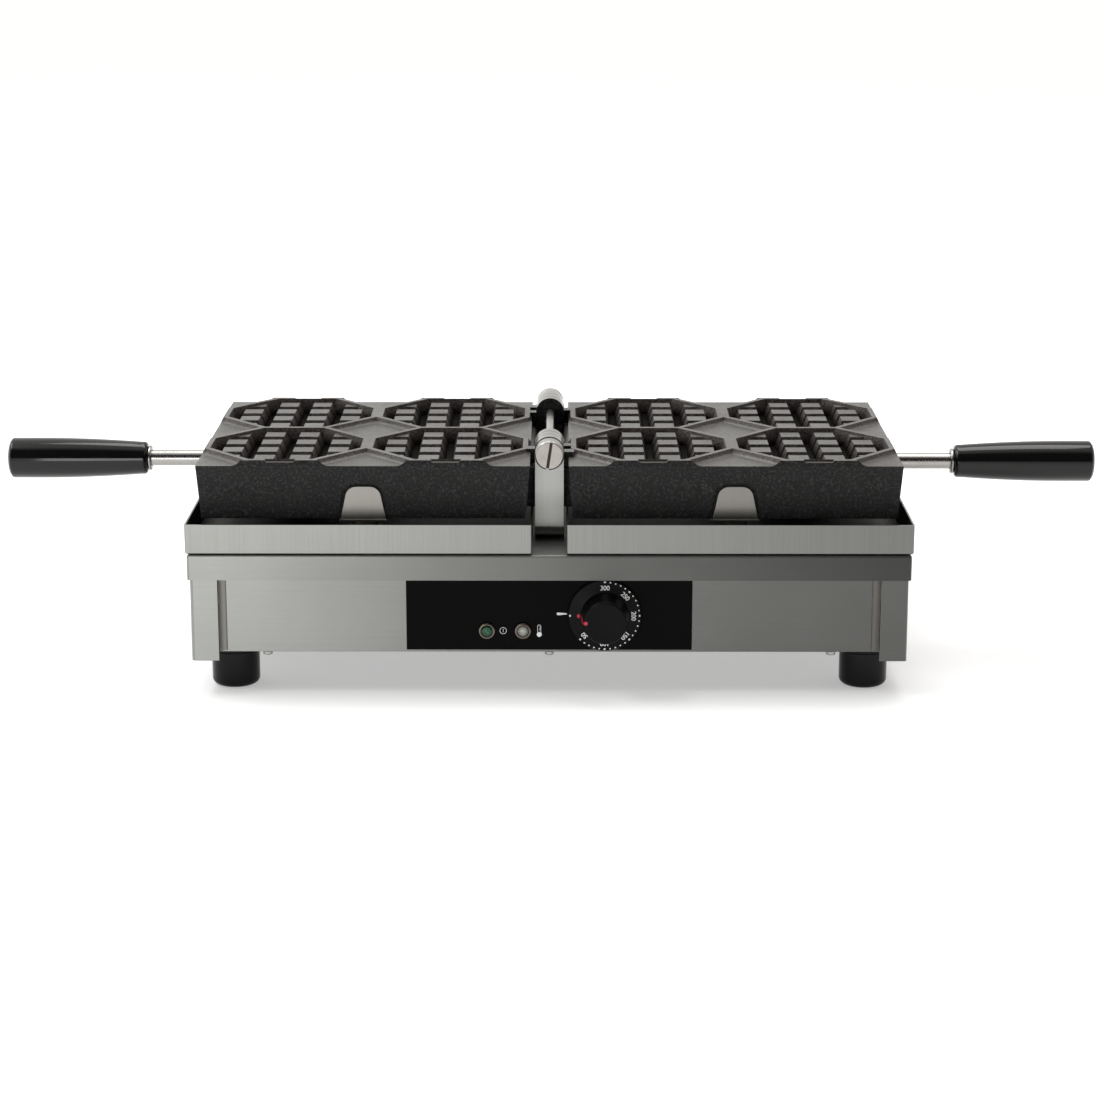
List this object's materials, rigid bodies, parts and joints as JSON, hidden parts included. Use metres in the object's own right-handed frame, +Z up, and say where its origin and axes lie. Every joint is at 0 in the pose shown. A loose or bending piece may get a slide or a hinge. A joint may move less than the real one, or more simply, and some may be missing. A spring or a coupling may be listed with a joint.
{
  "type": "electric waffle iron",
  "caption": "Countertop electric waffle iron with studded cast-iron plates that open flat about a centre hinge, pull-out drip trays, side handles and a thermostat knob.",
  "frame": {"origin": "centre of the footprint at the height of the feet's undersides", "axes": "+X to the user's right along the longest side, -Y towards the user and the knob, +Z up"},
  "size_m": [0.824, 0.3188, 0.1805],
  "materials": {
    "stainless": "brushed along the length, satin",
    "tray_steel": "brushed upright, satin",
    "hinge_steel": "brushed, satin",
    "bright_steel": "polished",
    "clip_steel": "satin",
    "cast_iron": "sand-cast sides, machined faces, seasoned",
    "element_sheath": "oxidised",
    "black_plastic": "glossy, heat resistant",
    "black_label": "fine matte",
    "grey_plastic": "matte",
    "green_lens": "translucent",
    "clear_lens": "translucent"
  },
  "bodies": {
    "housing": {"top_casing": "stainless", "front_panel": "stainless", "rear_panel": "stainless", "left_side_panel": "stainless", "right_side_panel": "stainless", "bottom_plate": "stainless", "left_plate_rest": "stainless", "right_plate_rest": "stainless", "hinge_bracket": "hinge_steel", "hinge_rod": "bright_steel", "front_hinge_screw": "bright_steel", "rear_hinge_screw": "bright_steel", "front_bracket_bolt": "bright_steel", "rear_bracket_bolt": "bright_steel", "left_bottom_screw": "bright_steel", "centre_bottom_screw": "bright_steel", "right_bottom_screw": "bright_steel", "power_lamp_bezel": "bright_steel", "heating_lamp_bezel": "bright_steel", "front_left_foot": "black_plastic", "front_right_foot": "black_plastic", "rear_left_foot": "black_plastic", "rear_right_foot": "black_plastic", "cable_gland": "black_plastic", "gland_nut": "black_plastic", "label_plate": "black_label", "thermostat_body": "grey_plastic", "terminal_block": "grey_plastic", "power_lamp_lens": "green_lens", "heating_lamp_lens": "clear_lens"},
    "left_plate_set": {"left_plate": "cast_iron", "left_heating_element": "element_sheath", "left_element_cover": "stainless", "left_front_clip": "clip_steel", "left_front_clip_nut": "clip_steel", "left_rear_clip": "clip_steel", "left_rear_clip_nut": "clip_steel", "left_handle_rod": "bright_steel", "left_handle_grip": "black_plastic", "left_handle_ferrule": "bright_steel"},
    "right_plate_set": {"right_plate": "cast_iron", "right_heating_element": "element_sheath", "right_element_cover": "stainless", "right_front_clip": "clip_steel", "right_front_clip_nut": "clip_steel", "right_rear_clip": "clip_steel", "right_rear_clip_nut": "clip_steel", "right_handle_rod": "bright_steel", "right_handle_grip": "black_plastic", "right_handle_ferrule": "bright_steel"},
    "left_tray": {"left_drip_tray": "tray_steel"},
    "right_tray": {"right_drip_tray": "tray_steel"},
    "knob": {"thermostat_knob": "black_plastic", "thermostat_shaft": "bright_steel"}
  },
  "joints": [
    {"name": "left_plate_fold", "type": "hinge", "parent": "housing", "child": "left_plate_set", "pos_m": [0, 0, 0.1695], "axis": [0, 1, 0], "range_deg": [0, 180]},
    {"name": "right_plate_fold", "type": "hinge", "parent": "housing", "child": "right_plate_set", "pos_m": [0, 0, 0.1695], "axis": [0, -1, 0], "range_deg": [0, 180]},
    {"name": "left_tray_slide", "type": "slide", "parent": "housing", "child": "left_tray", "axis": [0, -1, 0], "range_m": [0, 0.27]},
    {"name": "right_tray_slide", "type": "slide", "parent": "housing", "child": "right_tray", "axis": [0, -1, 0], "range_m": [0, 0.27]},
    {"name": "thermostat_turn", "type": "hinge", "parent": "housing", "child": "knob", "pos_m": [0.04, -0.1351, 0.0593], "axis": [0, 1, 0], "range_deg": [0, 270]}
  ]
}
